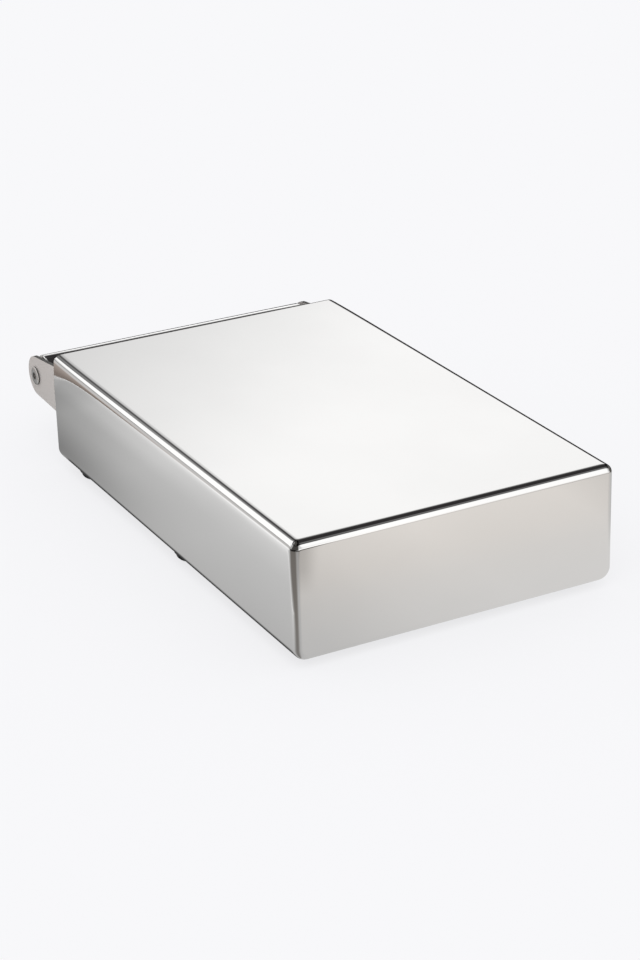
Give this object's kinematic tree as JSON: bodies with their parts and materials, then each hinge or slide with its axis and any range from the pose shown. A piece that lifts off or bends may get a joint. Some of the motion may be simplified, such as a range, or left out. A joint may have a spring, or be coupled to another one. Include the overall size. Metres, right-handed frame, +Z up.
{
  "type": "coffee knock drawer",
  "caption": "Flat polished steel knock drawer: closed housing on rubber feet, and a tray that slides out on a cross-bar handle, with a rubber-sleeved knock bar inside.",
  "frame": {"origin": "middle of the whole object's outline, on the plane that the feet stand on", "axes": "+Z up, +Y the way the drawer opens, towards the bar handle, +X to the right when the closed end is in front"},
  "size_m": [0.19, 0.3538, 0.0709],
  "materials": {
    "polished_steel": "mirror-polished stainless steel",
    "satin_steel": "satin stainless steel",
    "screw_steel": "machined stainless steel",
    "black_rubber": "smooth black rubber",
    "black_plastic": "matt black plastic",
    "glide_plastic": "natural white sliding plastic"
  },
  "bodies": {
    "housing": {"housing_shell": "polished_steel", "base_plate": "satin_steel", "drawer_stop": "satin_steel", "foot_left_front": "black_rubber", "foot_right_front": "black_rubber", "foot_left_middle": "black_rubber", "foot_right_middle": "black_rubber", "foot_left_rear": "black_rubber", "foot_right_rear": "black_rubber", "foot_screw_left_front": "screw_steel", "foot_screw_right_front": "screw_steel", "foot_screw_left_middle": "screw_steel", "foot_screw_right_middle": "screw_steel", "foot_screw_left_rear": "screw_steel", "foot_screw_right_rear": "screw_steel", "left_floor_glide": "glide_plastic", "right_floor_glide": "glide_plastic", "left_top_glide": "glide_plastic", "right_top_glide": "glide_plastic", "left_buffer": "black_rubber", "right_buffer": "black_rubber"},
    "drawer": {"drawer_pan": "satin_steel", "left_side_plate": "satin_steel", "right_side_plate": "satin_steel", "handle_bar": "polished_steel", "left_handle_plug": "screw_steel", "right_handle_plug": "screw_steel", "left_handle_spacer": "black_plastic", "right_handle_spacer": "black_plastic", "left_handle_screw": "screw_steel", "right_handle_screw": "screw_steel", "knock_rod": "satin_steel", "knock_sleeve": "black_rubber", "left_knock_screw": "screw_steel", "right_knock_screw": "screw_steel"}
  },
  "joints": [
    {"name": "drawer_slide", "type": "slide", "parent": "housing", "child": "drawer", "axis": [0, 1, 0], "range_m": [0, 0.205]}
  ]
}
